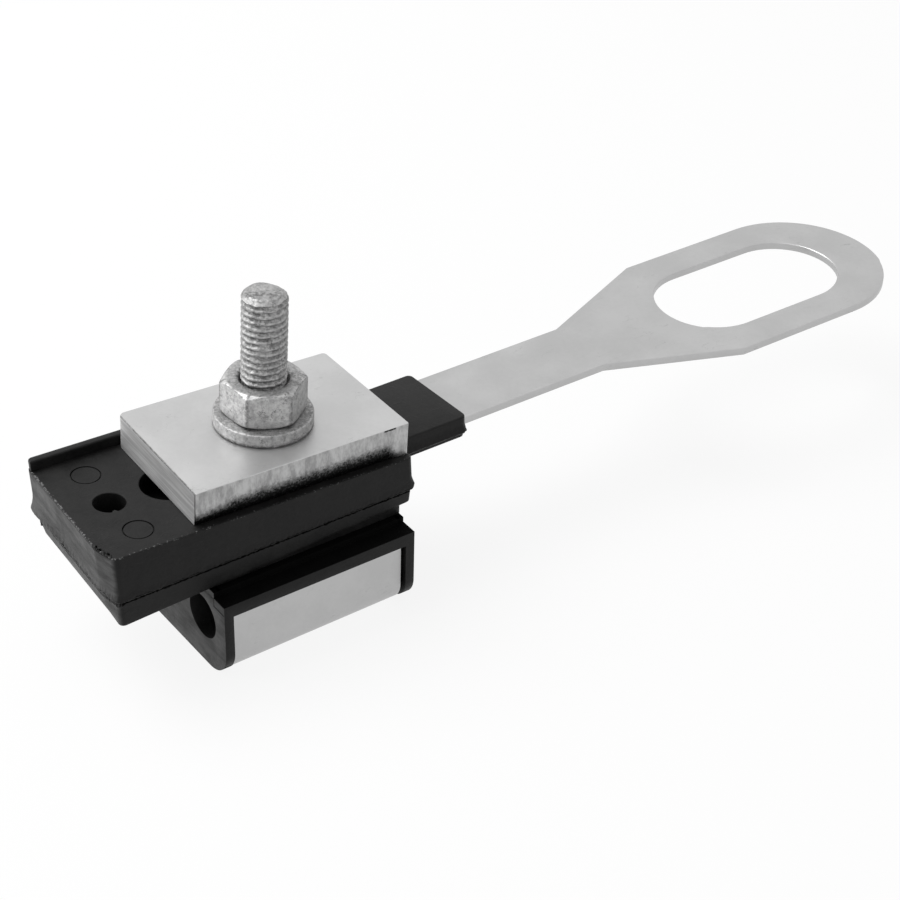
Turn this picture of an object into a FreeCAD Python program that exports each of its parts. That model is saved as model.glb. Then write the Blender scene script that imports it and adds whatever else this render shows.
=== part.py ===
import FreeCAD, Part
import Sketcher
import os

# Insulated anchor clamp for an overhead line, in millimetres.
# +X runs along the strap towards its eye and +Z is up. The bolt's axis leaves the origin, on the
# underside of the saddle, and leans towards +X by the slope of the moulded block's floor.

SIZES = {
    # Jaw, and the saddle round its underside
    "jaw_left": 22.2,
    "jaw_half_width": 22.8,
    "jaw_height": 21.5,
    "jaw_corner_radius": 7.0,
    "ledge_depth": 4.2,
    "ledge_drop": 1.4,
    "lip_height": 3.1,
    "end_rib": 2.2,
    "bore_radius": 5.35,
    "bore_offset": 13.6,
    "bore_height": 12.3,
    "saddle_thickness": 1.5,
    "saddle_length": 42.2,
    "saddle_left_gap": 0.3,
    "saddle_right_gap": 1.0,
    "saddle_top_gap": 0.2,
    "saddle_side_inset": 0.5,
    "saddle_side_corner": 2.4,
    # Moulded block
    "closing_gap": 0.1,
    "boss_height": 2.0,
    "boss_half_width": 17.2,
    "boss_end_inset": 1.0,
    "block_left": 44.3,
    "block_right": 28.3,
    "block_front": 18.6,
    "block_back": 19.9,
    "block_corner_radius": 1.6,
    "left_end_skew": 2.4,
    "under_slope": 2.0,
    "floor_slope": 2.4,
    "under_strap": 8.3,
    "over_strap": 3.5,
    "parting_above_underside": 4.6,
    "parting_inset": 0.4,
    "upper_draft": 1.5,
    "lower_draft": 2.0,
    "left_end_draft": 13.0,
    "left_end_lean": 3.7,
    "flash_reach": 0.3,
    "flash_height": 0.4,
    "rim_width": 1.9,
    "rim_height": 2.5,
    # Recesses and marks that the mould leaves in the floor, placed from its left end
    "small_recess_from_end": 9.0,
    "small_recess_radius": 3.5,
    "small_recess_depth": 5.5,
    "gate_nub_radius": 0.8,
    "gate_nub_drop": 0.9,
    "large_recess_from_end": 22.8,
    "large_recess_radius": 6.1,
    "large_recess_depth": 5.5,
    "ejector_mark_from_end": 9.5,
    "ejector_mark_offset": 11.3,
    "ejector_mark_radius": 3.1,
    "ejector_mark_depth": 0.2,
    # Neck round the strap
    "neck_end": 47.3,
    "neck_half_width": 10.5,
    "neck_over_strap": 1.4,
    "neck_parting_drop": 0.8,
    "neck_under_strap": 2.3,
    "neck_corner_radius": 1.4,
    # Strap
    "strap_thickness": 1.9,
    "strap_half_width": 9.15,
    "flare_start": 88.1,
    "flare_end": 120.3,
    "eye_half_width": 22.3,
    "eye_end": 178.4,
    "slot_radius": 13.8,
    "slot_near": 128.5,
    "slot_far": 152.0,
    "sleeve_wall": 2.6,
    "inner_ring_wall": 5.0,
    # Pressure plate
    "plate_left": 26.1,
    "plate_right": 26.4,
    "plate_half_width": 16.5,
    "plate_thickness": 8.0,
    "plate_corner_radius": 0.45,
    # Washer and nut
    "washer_radius": 10.8,
    "washer_thickness": 3.0,
    "washer_edge_chamfer": 0.4,
    "nut_flats": 16.5,
    "nut_height": 8.0,
    "nut_angle": 20.0,
    "nut_gap": 0.05,
    "nut_clearance": 0.06,
    "nut_chamfer_angle": 30.0,
    "nut_bore_chamfer": 0.6,
    # Bolt
    "bolt_radius": 5.0,
    "bolt_reach": 31.6,
    "bolt_end_chamfer": 0.9,
    "bolt_clearance": 0.5,
    "head_radius": 9.2,
    "head_height": 4.4,
    "head_rim": 0.8,
    "head_recess": 0.6,
    "square_height": 3.5,
    "seat_clearance": 0.15,
}

# The jaw is as long as its saddle with a gap and a rib at each end
SADDLE_LEFT = "(Size.end_rib + Size.saddle_left_gap - Size.jaw_left)"
JAW_RIGHT = f"({SADDLE_LEFT} + Size.saddle_length + Size.saddle_right_gap + Size.end_rib)"
JAW_LENGTH = f"(Size.jaw_left + {JAW_RIGHT})"

# Heights at the origin's vertical, stacked from the jaw upwards
LIP_LOW = "(Size.jaw_height - Size.ledge_drop - Size.lip_height)"
LEDGE = "(Size.jaw_height - Size.ledge_drop)"
BOSS_LOW = "(Size.jaw_height + Size.closing_gap)"
UNDERSIDE = f"({BOSS_LOW} + Size.boss_height)"
PARTING = f"({UNDERSIDE} + Size.parting_above_underside)"
STRAP_LOW = f"({UNDERSIDE} + Size.under_strap)"
STRAP_TOP = f"({STRAP_LOW} + Size.strap_thickness)"
FLOOR = f"({STRAP_TOP} + Size.over_strap)"

# Distances along the leaning bolt
SEAT = f"({FLOOR} * cos(Size.floor_slope))"
PLATE_TOP = f"({SEAT} + Size.plate_thickness)"
WASHER_TOP = f"({PLATE_TOP} + Size.washer_thickness)"
NUT_LOW = f"({WASHER_TOP} + Size.nut_gap)"
NUT_TOP = f"({NUT_LOW} + Size.nut_height)"
BOLT_TOP = f"({PLATE_TOP} + Size.bolt_reach)"
HOLE_RADIUS = "(Size.bolt_radius + Size.bolt_clearance)"

# How near an edge lies to the place where it is looked for
NEAR = 0.01

doc = FreeCAD.newDocument("anchor_clamp")
sheet = doc.addObject("Spreadsheet::Sheet", "Size")
for row, (alias, value) in enumerate(SIZES.items(), start=1):
    sheet.set(f"A{row}", alias)
    sheet.set(f"B{row}", str(value))
    sheet.setAlias(f"B{row}", alias)
doc.recompute()


def amount(expression):
    result = sheet.evalExpression(expression)
    return float(getattr(result, "Value", result))


# A new sketch on one of the body's own planes, moved along the plane's normal by an offset.
# The normals are +Z for XY, -Y for XZ and +X for YZ.
def sketch_on(body, name, plane, offset="0"):
    sketch = body.newObject("Sketcher::SketchObject", name)
    support = [o for o in body.Origin.OriginFeatures if o.Role == f"{plane}_Plane"]
    sketch.AttachmentSupport = [(support[0], "")]
    sketch.MapMode = "FlatFace"
    sketch.setExpression("AttachmentOffset.Base.z", offset)
    return sketch


# Binds one measure of a sketch's geometry to the sheet
def dimension(sketch, kind, references, expression):
    constraint = Sketcher.Constraint(kind, *references, amount(expression))
    index = sketch.addConstraint(constraint)
    sketch.setExpression(f"Constraints[{index}]", expression)


def place_point(sketch, geometry, point, x, y):
    dimension(sketch, "DistanceX", (-1, 1, geometry, point), x)
    dimension(sketch, "DistanceY", (-1, 1, geometry, point), y)


def add_polygon(sketch, corners):
    points = [FreeCAD.Vector(amount(x), amount(y), 0) for x, y in corners]
    count = len(points)
    lines = []
    for i in range(count):
        line = Part.LineSegment(points[i], points[(i + 1) % count])
        lines.append(sketch.addGeometry(line, False))
    for i in range(count):
        following = lines[(i + 1) % count]
        sketch.addConstraint(Sketcher.Constraint("Coincident", lines[i], 2, following, 1))
    for line, (x, y) in zip(lines, corners):
        place_point(sketch, line, 1, x, y)


def add_circle(sketch, x, y, radius):
    centre = FreeCAD.Vector(amount(x), amount(y), 0)
    circle = Part.Circle(centre, FreeCAD.Vector(0, 0, 1), amount(radius))
    geometry = sketch.addGeometry(circle, False)
    dimension(sketch, "Radius", (geometry,), radius)
    place_point(sketch, geometry, 3, x, y)


def rectangle(left, right, low, high):
    return [(left, low), (right, low), (right, high), (left, high)]


# Adds a pad, or takes a pocket, along the sketch plane's normal
def extrude(body, sketch, length, cut=False):
    kind = "PartDesign::Pocket" if cut else "PartDesign::Pad"
    feature = body.newObject(kind, f"{sketch.Name}_{'cut' if cut else 'pad'}")
    feature.Profile = sketch
    feature.setExpression("Length", length)
    feature.Reversed = cut
    sketch.Visibility = False
    doc.recompute()
    return feature


def prism(body, name, plane, offset, length, corners, cut=False):
    sketch = sketch_on(body, name, plane, offset)
    add_polygon(sketch, corners)
    return extrude(body, sketch, length, cut)


def disc(body, name, plane, offset, length, x, y, radius, cut=False):
    sketch = sketch_on(body, name, plane, offset)
    add_circle(sketch, x, y, radius)
    return extrude(body, sketch, length, cut)


# Turns a closed half-section in the XZ plane about Z, to add or to cut
def turn(body, name, corners, cut=False):
    sketch = sketch_on(body, name, "XZ")
    add_polygon(sketch, corners)
    kind = "PartDesign::Groove" if cut else "PartDesign::Revolution"
    feature = body.newObject(kind, f"{name}_turned")
    feature.Profile = sketch
    feature.ReferenceAxis = (sketch, ["V_Axis"])
    feature.Angle = 360.0
    doc.recompute()
    return feature


# Joins two horizontal outlines with the same number of corners by straight walls
def tapered(body, name, low, low_outline, high, high_outline):
    sections = []
    for level, height, outline in (("low", low, low_outline), ("high", high, high_outline)):
        sketch = sketch_on(body, f"{name}_{level}", "XY", height)
        add_polygon(sketch, outline)
        sketch.Visibility = False
        sections.append(sketch)
    loft = body.newObject("PartDesign::AdditiveLoft", name)
    loft.Profile = sections[0]
    loft.Sections = [sections[1]]
    loft.Ruled = True
    doc.recompute()
    return loft


# Rounds the edges of the body's last feature that pass a test
def round_edges(body, name, radius, chosen):
    base = body.Tip
    names = [f"Edge{i}" for i, edge in enumerate(base.Shape.Edges, start=1) if chosen(edge)]
    fillet = body.newObject("PartDesign::Fillet", name)
    fillet.Base = (base, names)
    fillet.setExpression("Radius", radius)
    doc.recompute()
    return fillet


def runs_along(edge, axis):
    box = edge.BoundBox
    lengths = {"x": box.XLength, "y": box.YLength, "z": box.ZLength}
    along = lengths.pop(axis)
    return along > 0.05 and max(lengths.values()) < 1e-4 and edge.Curve.TypeId == "Part::GeomLine"


def new_body(name):
    return doc.addObject("PartDesign::Body", name)


def subtract(name, base, tool):
    result = doc.addObject("Part::Cut", name)
    result.Base = base
    result.Tool = tool
    doc.recompute()
    return result


# Leans an object that stands on the block's floor, about the origin
def lean(thing):
    thing.Placement.Rotation = FreeCAD.Rotation(FreeCAD.Vector(0, 1, 0), amount("Size.floor_slope"))
    thing.setExpression("Placement.Rotation.Angle", "Size.floor_slope * 1 deg")
    return thing


# A bar along X with its two lower long edges rounded
def rounded_bar(body, name, start, length, half_width, low, high, radius):
    bottom = amount(low)
    side = amount(half_width)
    begin = amount(start)
    end = begin + amount(length)
    prism(body, name, "YZ", start, length, rectangle(f"-{half_width}", half_width, low, high))

    def lower_long_edge(edge):
        box = edge.BoundBox
        inside = box.XMin > begin - NEAR and box.XMax < end + NEAR
        at_corner = abs(box.ZMin - bottom) < NEAR and abs(abs(box.YMin) - side) < NEAR
        return runs_along(edge, "x") and inside and at_corner

    round_edges(body, f"{name}_corners", radius, lower_long_edge)


def floor_height(x):
    return f"({FLOOR} - ({x}) * tan(Size.floor_slope))"


def underside_height(x):
    return f"({UNDERSIDE} + ({x}) * tan(Size.under_slope))"


# The bolt's form as a turned section and a square neck, used for the bolt and for its way
# through the other pieces
def bolt_form(name, foot, head_radius, rim_top, cone_top, radius, top, chamfer, side):
    body = new_body(name)
    section = [
        ("0", foot),
        (head_radius, foot),
        (head_radius, rim_top),
        (radius, cone_top),
        (radius, f"{top} - {chamfer}"),
        (f"{radius} - {chamfer}", top),
        ("0", top),
    ]
    turn(body, f"{name}_section", section)
    square_top = "(Size.head_recess + Size.head_height + Size.square_height)"
    square = rectangle(f"-{side}", side, f"-{side}", side)
    prism(body, f"{name}_square", "XY", rim_top, f"{square_top} - {rim_top}", square)
    return lean(body)


def make_clamp_bolt():
    rim_top = "(Size.head_recess + Size.head_rim)"
    cone_top = "(Size.head_recess + Size.head_height)"
    return bolt_form("clamp_bolt", "Size.head_recess", "Size.head_radius", rim_top, cone_top,
                     "Size.bolt_radius", BOLT_TOP, "Size.bolt_end_chamfer", "Size.bolt_radius")


def make_bolt_passage():
    rim_top = "(Size.head_recess + Size.head_rim + Size.seat_clearance)"
    cone_top = f"({rim_top} + Size.head_height - Size.head_rim)"
    return bolt_form("bolt_passage", "-Size.head_radius", "(Size.head_radius + Size.seat_clearance)",
                     rim_top, cone_top, HOLE_RADIUS, f"({BOLT_TOP} + Size.bolt_radius)",
                     "Size.bolt_end_chamfer", "(Size.bolt_radius + Size.seat_clearance)")


def make_lower_jaw(bolt_passage):
    body = new_body("jaw_moulding")
    wall = "Size.saddle_thickness"
    core_inset = f"(Size.saddle_side_inset + {wall})"
    rounded_bar(body, "jaw_core", "-Size.jaw_left", JAW_LENGTH, f"(Size.jaw_half_width - {core_inset})", wall,
                LEDGE, f"Size.jaw_corner_radius - {core_inset}")
    for name, start in (("left_rib", "-Size.jaw_left"), ("right_rib", f"{JAW_RIGHT} - Size.end_rib")):
        rounded_bar(body, name, start, "Size.end_rib", "Size.jaw_half_width", "0", LIP_LOW,
                    "Size.jaw_corner_radius")
    lip = rectangle("-Size.jaw_half_width", "Size.jaw_half_width", LIP_LOW, LEDGE)
    prism(body, "lip", "YZ", "-Size.jaw_left", JAW_LENGTH, lip)
    crown_width = "(Size.jaw_half_width - Size.ledge_depth)"
    crown = rectangle(f"-{crown_width}", crown_width, LEDGE, "Size.jaw_height")
    prism(body, "crown", "YZ", "Size.boss_end_inset - Size.jaw_left",
          f"{JAW_LENGTH} - 2 * Size.boss_end_inset", crown)
    for side, sign in (("front", "-"), ("back", "")):
        disc(body, f"{side}_bore", "YZ", "-Size.jaw_left", JAW_LENGTH, f"{sign}Size.bore_offset",
             "Size.bore_height", "Size.bore_radius", cut=True)
    return subtract("lower_jaw", body, bolt_passage)


def make_saddle_plate(bolt_passage):
    wall = "Size.saddle_thickness"
    top = f"({LIP_LOW} - Size.saddle_top_gap)"
    side = "(Size.jaw_half_width - Size.saddle_side_inset)"
    bend = "(Size.jaw_corner_radius - Size.saddle_side_inset)"
    outside = new_body("saddle_outside")
    rounded_bar(outside, "outer_bend", SADDLE_LEFT, "Size.saddle_length", side, "0", top, bend)
    height = amount(top)
    round_edges(outside, "side_corners", "Size.saddle_side_corner",
                lambda edge: runs_along(edge, "y") and abs(edge.BoundBox.ZMin - height) < NEAR)
    inside = new_body("saddle_inside")
    rounded_bar(inside, "inner_bend", f"({SADDLE_LEFT} - {wall})", f"(Size.saddle_length + 2 * {wall})",
                f"({side} - {wall})", wall, f"({top} + {wall})", f"{bend} - {wall}")
    sheet_metal = subtract("bent_sheet", outside, inside)
    return subtract("saddle_plate", sheet_metal, bolt_passage)


def make_anchor_strap():
    body = new_body("anchor_strap")
    thickness = "Size.strap_thickness"
    ring_x = f"({STRAP_LOW} * tan(Size.floor_slope))"
    hole = f"({HOLE_RADIUS} + Size.sleeve_wall)"
    eye_x = "(Size.eye_end - Size.eye_half_width)"
    outline = [
        (ring_x, "-Size.strap_half_width"),
        ("Size.flare_start", "-Size.strap_half_width"),
        ("Size.flare_end", "-Size.eye_half_width"),
        (eye_x, "-Size.eye_half_width"),
        (eye_x, "Size.eye_half_width"),
        ("Size.flare_end", "Size.eye_half_width"),
        ("Size.flare_start", "Size.strap_half_width"),
        (ring_x, "Size.strap_half_width"),
    ]
    prism(body, "bar", "XY", STRAP_LOW, thickness, outline)
    disc(body, "eye_end", "XY", STRAP_LOW, thickness, eye_x, "0", "Size.eye_half_width")
    disc(body, "inner_ring", "XY", STRAP_LOW, thickness, ring_x, "0", f"({hole} + Size.inner_ring_wall)")
    disc(body, "sleeve_hole", "XY", STRAP_LOW, thickness, ring_x, "0", hole, cut=True)
    slot = rectangle("Size.slot_near", "Size.slot_far", "-Size.slot_radius", "Size.slot_radius")
    prism(body, "slot_middle", "XY", STRAP_LOW, thickness, slot, cut=True)
    for name in ("slot_near", "slot_far"):
        disc(body, f"{name}_end", "XY", STRAP_LOW, thickness, f"Size.{name}", "0", "Size.slot_radius",
             cut=True)
    return body


# The block's outline in plan, drawn in by an inset on three sides and by another at its skewed left end
def block_outline(left_inset, inset):
    front = f"({inset} - Size.block_front)"
    back = f"(Size.block_back - {inset})"
    right = f"(Size.block_right - {inset})"
    front_left, back_left = (f"({left_inset} - Size.block_left + {side} * tan(Size.left_end_skew))"
                             for side in (front, back))
    return [(front_left, front), (right, front), (right, back), (back_left, back)]


# The block's two halves with their draft, and its sloping floor, rim and underside
def add_block(body):
    beyond_left = "(-2 * Size.block_left)"
    beyond_right = "(2 * Size.block_right)"
    whole_width = "(Size.block_back + Size.block_front)"
    inset = "Size.parting_inset"
    low = f"({underside_height(beyond_left)} - Size.boss_height)"
    lower_height = f"({PARTING} - {low})"
    high = f"({floor_height(beyond_left)} + 2 * Size.rim_height)"
    tapered(body, "lower_block",
            low, block_outline(f"({inset} + {lower_height} * tan(Size.left_end_draft))",
                               f"({inset} + {lower_height} * tan(Size.lower_draft))"),
            PARTING, block_outline(inset, inset))
    tapered(body, "upper_block", PARTING, block_outline("0", "0"),
            high, block_outline(f"(-({high} - {PARTING}) * tan(Size.left_end_lean))",
                                f"(({high} - {PARTING}) * tan(Size.upper_draft))"))
    round_edges(body, "block_corners", "Size.block_corner_radius",
                lambda edge: edge.BoundBox.ZLength > NEAR)

    underside = [(beyond_left, low), (beyond_right, low), (beyond_right, underside_height(beyond_right)),
                 (beyond_left, underside_height(beyond_left))]
    prism(body, "underside", "XZ", "-Size.block_back", whole_width, underside, cut=True)
    for name, rise, end in (("rim_top", "Size.rim_height", "-Size.block_back"),
                            ("floor", "0", "Size.rim_width - Size.block_back")):
        over = [(beyond_left, f"{floor_height(beyond_left)} + {rise}"),
                (beyond_right, f"{floor_height(beyond_right)} + {rise}"),
                (beyond_right, f"{high} + Size.rim_height"), (beyond_left, f"{high} + Size.rim_height")]
        prism(body, name, "XZ", end, whole_width, over, cut=True)

    flash = block_outline("(-Size.flash_reach)", "(-Size.flash_reach)")
    prism(body, "block_flash", "XY", PARTING, "Size.flash_height", flash)
    parting = amount(PARTING)
    flash_top = amount(f"{PARTING} + Size.flash_height")
    round_edges(body, "flash_corners", "Size.block_corner_radius + Size.flash_reach",
                lambda edge: runs_along(edge, "z") and abs(edge.BoundBox.ZMin - parting) < NEAR
                and abs(edge.BoundBox.ZMax - flash_top) < NEAR)


def add_neck(body):
    root = "(Size.block_right - Size.rim_width)"
    length = f"(Size.neck_end - {root})"
    parting = f"({STRAP_LOW} - Size.neck_parting_drop)"
    upper = rectangle("-Size.neck_half_width", "Size.neck_half_width", parting,
                      f"{STRAP_TOP} + Size.neck_over_strap")
    prism(body, "neck_upper", "YZ", root, length, upper)
    low_width = "(Size.neck_half_width - Size.parting_inset)"
    lower = rectangle(f"-{low_width}", low_width, f"{STRAP_LOW} - Size.neck_under_strap", parting)
    prism(body, "neck_lower", "YZ", root, f"({length} - Size.parting_inset)", lower)
    lower_end = amount("Size.neck_end - Size.parting_inset")
    round_edges(body, "neck_corners", "Size.neck_corner_radius",
                lambda edge: runs_along(edge, "z") and edge.BoundBox.XMin > lower_end - NEAR)
    flash_width = "(Size.neck_half_width + Size.flash_reach)"
    flash = rectangle(root, "(Size.neck_end + Size.flash_reach)", f"-{flash_width}", flash_width)
    prism(body, "neck_flash", "XY", parting, "Size.flash_height", flash)
    flash_end = amount("Size.neck_end + Size.flash_reach")
    round_edges(body, "neck_flash_corners", "Size.neck_corner_radius + Size.flash_reach",
                lambda edge: runs_along(edge, "z") and abs(edge.BoundBox.XMin - flash_end) < NEAR)


# Recesses, the gate's nub and the ejectors' marks in the floor
def add_mould_marks(body):
    for name in ("small_recess", "large_recess"):
        x = f"(Size.{name}_from_end - Size.block_left)"
        bottom = f"({floor_height(x)} - Size.{name}_depth)"
        disc(body, name, "XY", bottom, f"(Size.{name}_depth + Size.rim_height)", x, "0",
             f"Size.{name}_radius", cut=True)
    x = "(Size.small_recess_from_end - Size.block_left)"
    disc(body, "gate_nub", "XY", f"({floor_height(x)} - Size.small_recess_depth)",
         "(Size.small_recess_depth - Size.gate_nub_drop)", x,
         "(Size.gate_nub_radius / 2 - Size.small_recess_radius)", "Size.gate_nub_radius")
    x = "(Size.ejector_mark_from_end - Size.block_left)"
    for side, sign in (("front", "-"), ("back", "")):
        disc(body, f"{side}_ejector_mark", "XY", f"({floor_height(x)} - Size.ejector_mark_depth)",
             "(Size.ejector_mark_depth + Size.rim_height)", x, f"{sign}Size.ejector_mark_offset",
             "Size.ejector_mark_radius", cut=True)


def make_insulating_body(anchor_strap, bolt_passage):
    body = new_body("block_moulding")
    add_block(body)
    add_neck(body)
    boss = rectangle("(Size.boss_end_inset - Size.jaw_left)", f"({JAW_RIGHT} - Size.boss_end_inset)",
                     "-Size.boss_half_width", "Size.boss_half_width")
    prism(body, "boss", "XY", BOSS_LOW, f"{PARTING} - {BOSS_LOW}", boss)
    add_mould_marks(body)
    bored = subtract("bored_block", body, bolt_passage)
    return subtract("insulating_body", bored, anchor_strap)


def make_pressure_plate():
    body = new_body("pressure_plate")
    blank = rectangle("-Size.plate_left", "Size.plate_right", "-Size.plate_half_width",
                      "Size.plate_half_width")
    prism(body, "plate_blank", "XY", SEAT, "Size.plate_thickness", blank)
    round_edges(body, "plate_corners", "Size.plate_corner_radius", lambda edge: runs_along(edge, "z"))
    disc(body, "plate_hole", "XY", SEAT, "Size.plate_thickness", "0", "0", HOLE_RADIUS, cut=True)
    return lean(body)


def make_flat_washer():
    body = new_body("flat_washer")
    chamfer = "Size.washer_edge_chamfer"
    rim = "Size.washer_radius"
    section = [(HOLE_RADIUS, PLATE_TOP), (f"{rim} - {chamfer}", PLATE_TOP), (rim, f"{PLATE_TOP} + {chamfer}"),
               (rim, f"{WASHER_TOP} - {chamfer}"), (f"{rim} - {chamfer}", WASHER_TOP),
               (HOLE_RADIUS, WASHER_TOP)]
    turn(body, "washer_section", section)
    return lean(body)


def make_hex_nut():
    body = new_body("hex_nut")
    corner = "(Size.nut_flats / sqrt(3))"
    hexagon = [(f"{corner} * cos(Size.nut_angle + {60 * i})", f"{corner} * sin(Size.nut_angle + {60 * i})")
               for i in range(6)]
    prism(body, "nut_blank", "XY", NUT_LOW, "Size.nut_height", hexagon)
    bore = "(Size.bolt_radius + Size.nut_clearance)"
    disc(body, "nut_bore", "XY", NUT_LOW, "Size.nut_height", "0", "0", bore, cut=True)
    face = "(Size.nut_flats / 2)"
    beyond = f"({corner} + Size.nut_bore_chamfer)"
    drop = f"(({beyond} - {face}) * tan(Size.nut_chamfer_angle))"
    mouth = "Size.nut_bore_chamfer"
    for name, level, inward in (("top", NUT_TOP, "-"), ("bottom", NUT_LOW, "+")):
        corner_cut = [(face, level), (beyond, level), (beyond, f"{level} {inward} {drop}")]
        turn(body, f"{name}_corner_chamfer", corner_cut, cut=True)
        bore_cut = [(f"{bore} - {mouth}", level), (f"{bore} + {mouth}", level),
                    (f"{bore}", f"{level} {inward} {mouth}"),
                    (f"{bore} - {mouth}", f"{level} {inward} {mouth}")]
        turn(body, f"{name}_bore_chamfer", bore_cut, cut=True)
    return lean(body)


def main():
    bolt_passage = make_bolt_passage()
    anchor_strap = make_anchor_strap()
    nodes = {
        "lower_jaw": make_lower_jaw(bolt_passage),
        "saddle_plate": make_saddle_plate(bolt_passage),
        "clamp_bolt": make_clamp_bolt(),
        "insulating_body": make_insulating_body(anchor_strap, bolt_passage),
        "anchor_strap": anchor_strap,
        "pressure_plate": make_pressure_plate(),
        "flat_washer": make_flat_washer(),
        "hex_nut": make_hex_nut(),
    }
    doc.recompute()
    faults = [thing.Name for thing in doc.Objects if {"Invalid", "Error"} & set(thing.State)]
    if faults:
        raise RuntimeError(f"failed objects: {faults}")
    for name, node in nodes.items():
        node.Label = name
        if node.Shape.isNull() or not node.Shape.isValid():
            raise RuntimeError(f"{name} has no valid shape")
        print(name, len(node.Shape.Solids), round(node.Shape.Volume, 1))
    os.makedirs("parts", exist_ok=True)
    for name, node in nodes.items():
        node.Shape.exportStep(f"parts/{name}.step")


main()
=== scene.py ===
from math import atan2, copysign, cos, hypot, pi, radians, sin, tan
import bmesh
import bpy
from mathutils import Matrix, Vector, noise


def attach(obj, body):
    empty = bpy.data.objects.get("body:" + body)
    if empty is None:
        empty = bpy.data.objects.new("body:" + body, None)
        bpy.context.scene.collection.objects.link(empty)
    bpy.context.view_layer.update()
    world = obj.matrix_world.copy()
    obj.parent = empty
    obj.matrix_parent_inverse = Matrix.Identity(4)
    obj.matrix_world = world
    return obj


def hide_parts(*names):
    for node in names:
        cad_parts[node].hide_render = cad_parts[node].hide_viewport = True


# Insulated anchor clamp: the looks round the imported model, in metres, with sizes written in millimetres.

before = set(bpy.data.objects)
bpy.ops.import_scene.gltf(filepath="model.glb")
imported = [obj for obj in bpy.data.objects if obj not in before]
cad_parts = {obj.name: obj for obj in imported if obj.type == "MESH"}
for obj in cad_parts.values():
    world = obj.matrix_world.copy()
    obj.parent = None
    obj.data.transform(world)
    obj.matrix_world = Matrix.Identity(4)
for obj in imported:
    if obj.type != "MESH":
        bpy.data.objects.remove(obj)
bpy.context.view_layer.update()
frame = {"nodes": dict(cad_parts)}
scene = bpy.context.scene
scene.view_settings.view_transform = "Standard"
mm = 0.001
floorSlope = 2.4  # degrees, the lean of all that stands on the block's floor
lean = Matrix.Rotation(radians(floorSlope), 4, "Y")
print("frame loaded:", ", ".join(frame["nodes"]))


# A dictionary whose values are read as attributes too
class Sizes(dict):
    __getattr__ = dict.__getitem__


# A node's output that takes part in sums: each operator adds a math node to its tree
class Field:
    def __init__(self, socket):
        self.socket, self.tree = socket, socket.id_data

    def __add__(self, other):
        return calc("ADD", self, other)

    def __sub__(self, other):
        return calc("SUBTRACT", self, other)

    def __rsub__(self, other):
        return calc("SUBTRACT", other, self)

    def __mul__(self, other):
        return calc("MULTIPLY", self, other)

    def __truediv__(self, other):
        return calc("DIVIDE", self, other)

    def __abs__(self):
        return calc("ABSOLUTE", self)


# Small helpers for node trees, shader and geometry alike
def join(value, socket):
    if isinstance(value, Field):
        value.tree.links.new(value.socket, socket)
    elif value is not None:
        socket.default_value = value


def addNode(tree, kind, inputs=None, outlet=0, **settings):
    node = tree.nodes.new(kind)
    for key, value in settings.items():
        setattr(node, key, value)
    for key, value in (inputs or {}).items():
        join(value, node.inputs[key])
    return Field(node.outputs[outlet])


def calc(operation, *values):
    tree = next(value.tree for value in values if isinstance(value, Field))
    return addNode(tree, "ShaderNodeMath", dict(enumerate(values)), operation=operation)


def larger(first, second):
    return calc("MAXIMUM", first, second)


def remap(value, low, high, newLow=0.0, newHigh=1.0, smooth=True):
    given = dict(enumerate((value, low, high, newLow, newHigh)))
    return addNode(value.tree, "ShaderNodeMapRange", given, interpolation_type="SMOOTHSTEP" if smooth else "LINEAR")


def noiseAt(where, scale, detail, roughness, seed):
    given = {"Vector": where, "Scale": scale, "Detail": detail, "Roughness": roughness, "W": seed}
    return addNode(where.tree, "ShaderNodeTexNoise", given, noise_dimensions="4D")


# Where a noise lies beyond low, in full from high on
def patches(where, scale, detail, roughness, seed, low, high):
    return remap(noiseAt(where, scale, detail, roughness, seed), low, high)


# Thin wandering lines, where a noise passes through its middle value
def veins(where, scale, width, seed):
    return remap(abs(noiseAt(where, scale, 4.0, 0.6, seed) - 0.5), 0.0, width, 1.0, 0.0)


def stretched(where, scale):
    return addNode(where.tree, "ShaderNodeVectorMath", {0: where, 1: scale}, operation="MULTIPLY")


def grey(value, warmth=0.0):
    return (value * (1 + warmth), value, value * (1 - warmth), 1.0)


# Mixes two colours, each a field, a colour or the value of a grey
def blend(amount, first, second):
    first, second = (grey(tone) if isinstance(tone, float) else tone for tone in (first, second))
    return addNode(amount.tree, "ShaderNodeMix", {0: amount, 6: first, 7: second}, 2, data_type="RGBA")


def readAttribute(where, name):
    return addNode(where.tree, "ShaderNodeAttribute", outlet="Fac", attribute_name=name)


def startMaterial(name, metallic=0.0):
    material = bpy.data.materials.new(name)
    material.use_nodes = True
    shader = material.node_tree.nodes["Principled BSDF"]
    shader.inputs["Metallic"].default_value = metallic
    return material, shader, addNode(material.node_tree, "ShaderNodeTexCoord", outlet="Object")


# Colour, roughness and layers of bumps, each of them a height, a distance in metres and a strength
def finishMaterial(shader, colour, rough, *layers):
    join(colour, shader.inputs["Base Color"])
    join(rough, shader.inputs["Roughness"])
    normal = None
    for height, distance, strength in layers:
        given = {"Height": height, "Distance": distance, "Strength": strength, "Normal": normal}
        normal = addNode(shader.id_data, "ShaderNodeBump", given)
    join(normal, shader.inputs["Normal"])


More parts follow.
